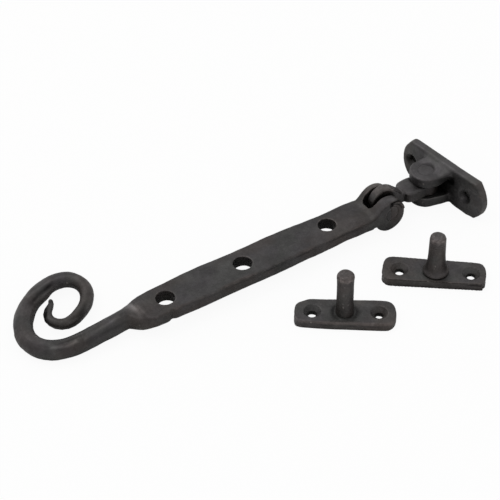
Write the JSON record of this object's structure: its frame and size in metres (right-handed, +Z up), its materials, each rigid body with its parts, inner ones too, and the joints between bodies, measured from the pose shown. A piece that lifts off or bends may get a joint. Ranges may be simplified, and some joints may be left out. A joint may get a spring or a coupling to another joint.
{
  "type": "casement window stay",
  "caption": "Hand-forged casement window stay: a flat holed arm with a scroll handle, hinged to a swivel link and fixing bracket, with loose peg plates that hold the arm.",
  "frame": {"origin": "middle of the footprint of the whole set as it lies, at the height of the surface it rests on; the bracket pin's axis stands at x 0.10334, y 0.01059", "axes": "+X along the arm from the scroll handle towards the bracket, +Y across the arm towards the side the scroll curls to, +Z up"},
  "size_m": [0.2372, 0.1166, 0.0287],
  "materials": {
    "arm_iron": "near-black coated forged iron, satin, softly hammered",
    "link_iron": "near-black coated forged iron, satin, worn a little brighter on the rubbing faces",
    "bracket_iron": "near-black coated forged iron, satin",
    "peg_iron": "near-black coated forged iron, satin, faint turning marks on the pegs",
    "rivet_iron": "near-black iron, peened flush"
  },
  "bodies": {
    "link": {"swivel_link": "link_iron"},
    "arm": {"stay_arm": "arm_iron", "knuckle_pin": "rivet_iron"},
    "bracket": {"bracket": "bracket_iron", "bracket_pin": "rivet_iron"},
    "left_peg": {"peg_plate_left": "peg_iron", "peg_left": "peg_iron"},
    "right_peg": {"peg_plate_right": "peg_iron", "peg_right": "peg_iron"}
  },
  "joints": [
    {"name": "arm_lift", "type": "hinge", "parent": "link", "child": "arm", "pos_m": [0.07594, 0.00989, 0.0098], "axis": [0, 1, 0], "range_deg": [0, 85]},
    {"name": "bracket_swing", "type": "hinge", "parent": "link", "child": "bracket", "pos_m": [0.10334, 0.01059, 0.0092], "axis": [0, 0, 1], "range_deg": [-88, 76]},
    {"name": "left_peg_place", "type": "slide", "parent": "link", "child": "left_peg", "axis": [0.8121, -0.5835, 0], "range_m": [-0.015, 0.015]},
    {"name": "right_peg_place", "type": "slide", "parent": "link", "child": "right_peg", "axis": [0.7782, -0.628, 0], "range_m": [-0.015, 0.015]}
  ]
}
